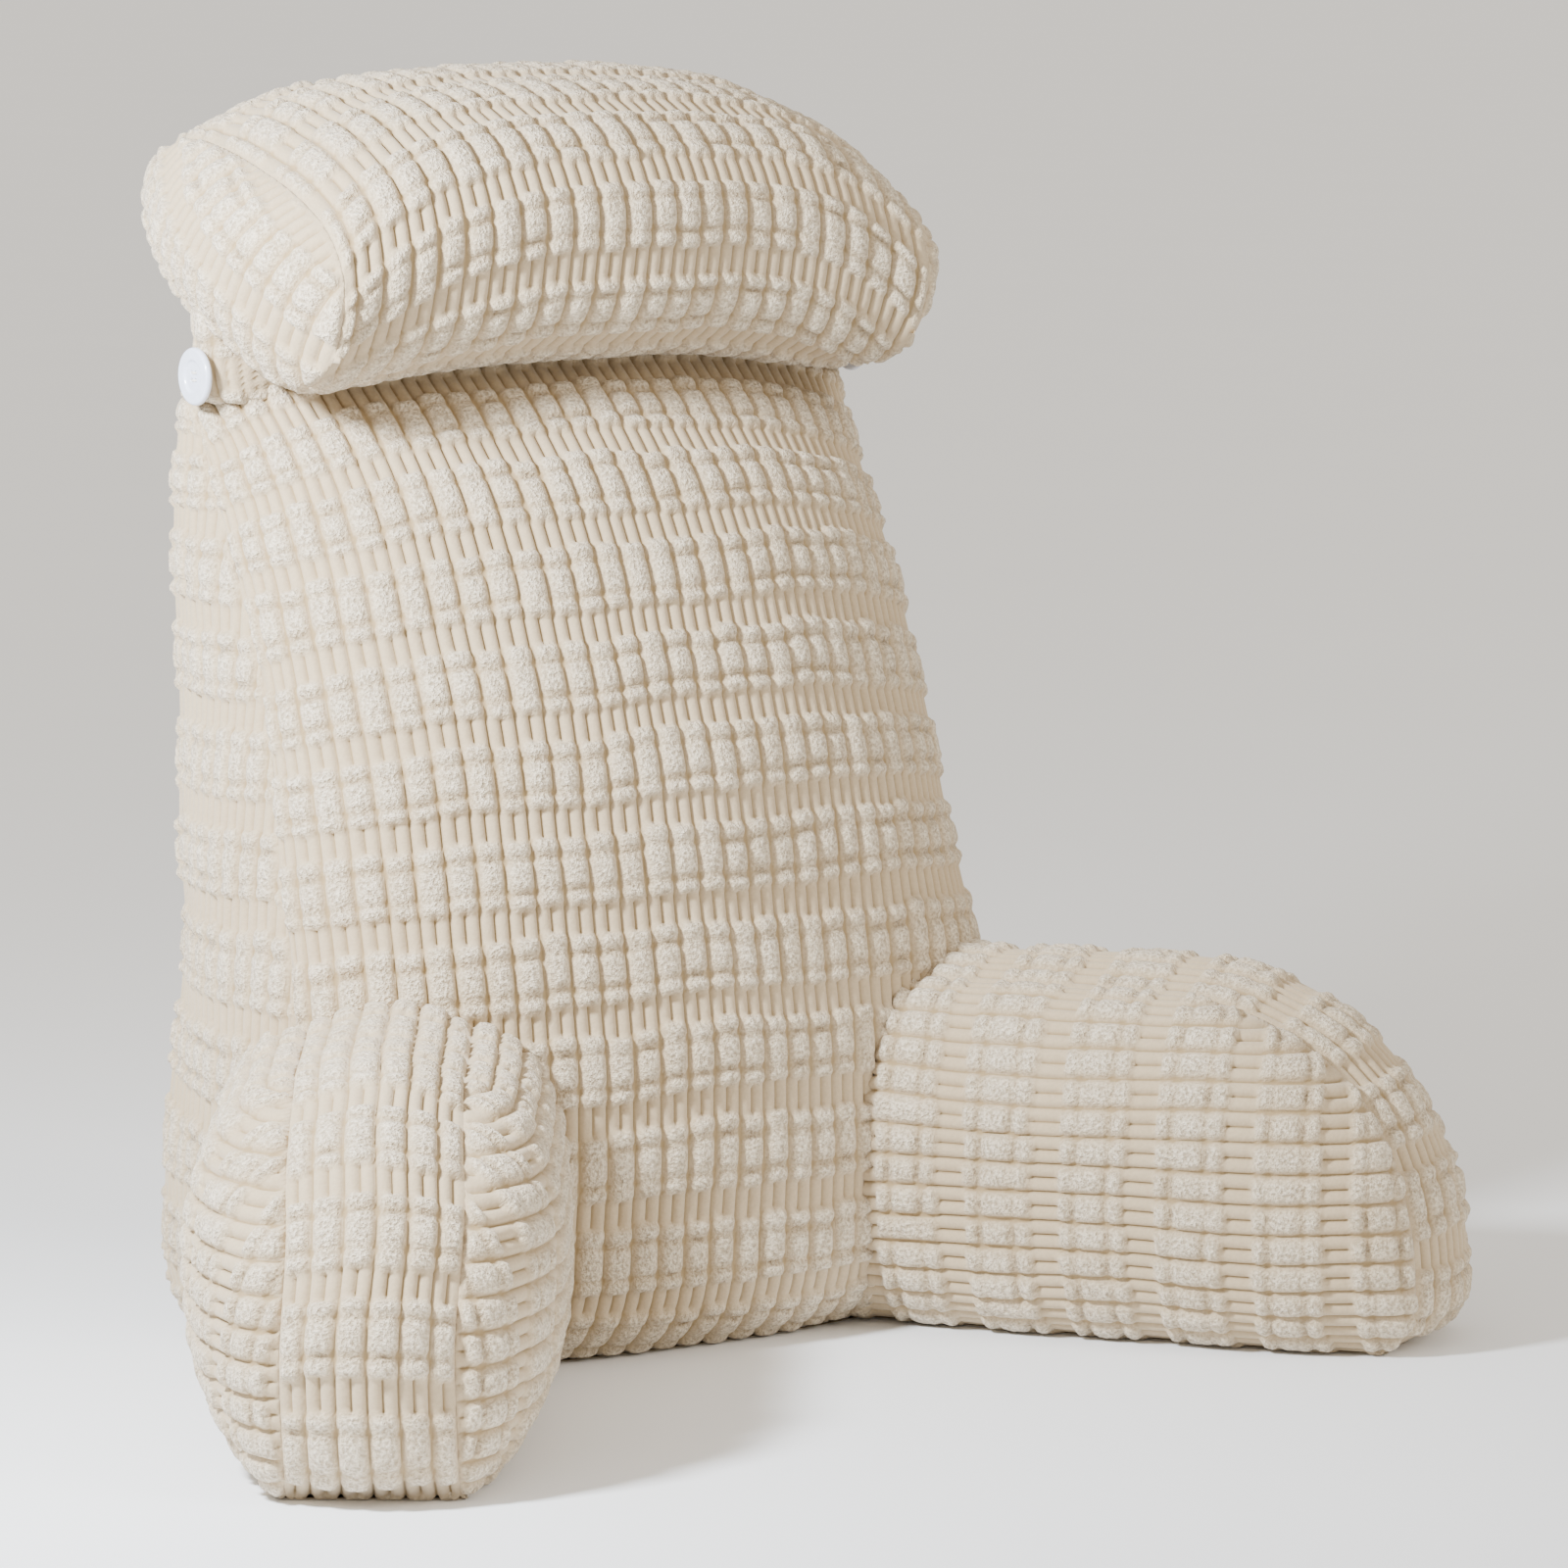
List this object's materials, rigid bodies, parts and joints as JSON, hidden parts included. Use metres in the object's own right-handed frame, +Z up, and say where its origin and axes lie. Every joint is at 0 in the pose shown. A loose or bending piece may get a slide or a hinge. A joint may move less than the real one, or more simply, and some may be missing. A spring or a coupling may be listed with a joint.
{
  "type": "backrest pillow",
  "caption": "Cream ribbed plush reading pillow: a wedge back cushion with two splayed arm cushions and a head roll held on by buttoned tabs.",
  "frame": {"origin": "on the floor, under the middle of the back cushion", "axes": "+Z up; -Y towards the sitter; +X to the right when the pillow is seen from the front"},
  "size_m": [0.758, 0.4842, 0.6715],
  "materials": {
    "plush": "wide-wale polyester plush, deep ribs in a block pattern, matte",
    "button_plastic": "moulded white resin, polished"
  },
  "bodies": {
    "root": {"backrest": "plush", "arm_left": "plush", "arm_right": "plush", "head_roll": "plush", "strap_left": "plush", "strap_right": "plush", "button_left": "button_plastic", "button_right": "button_plastic"}
  },
  "joints": []
}
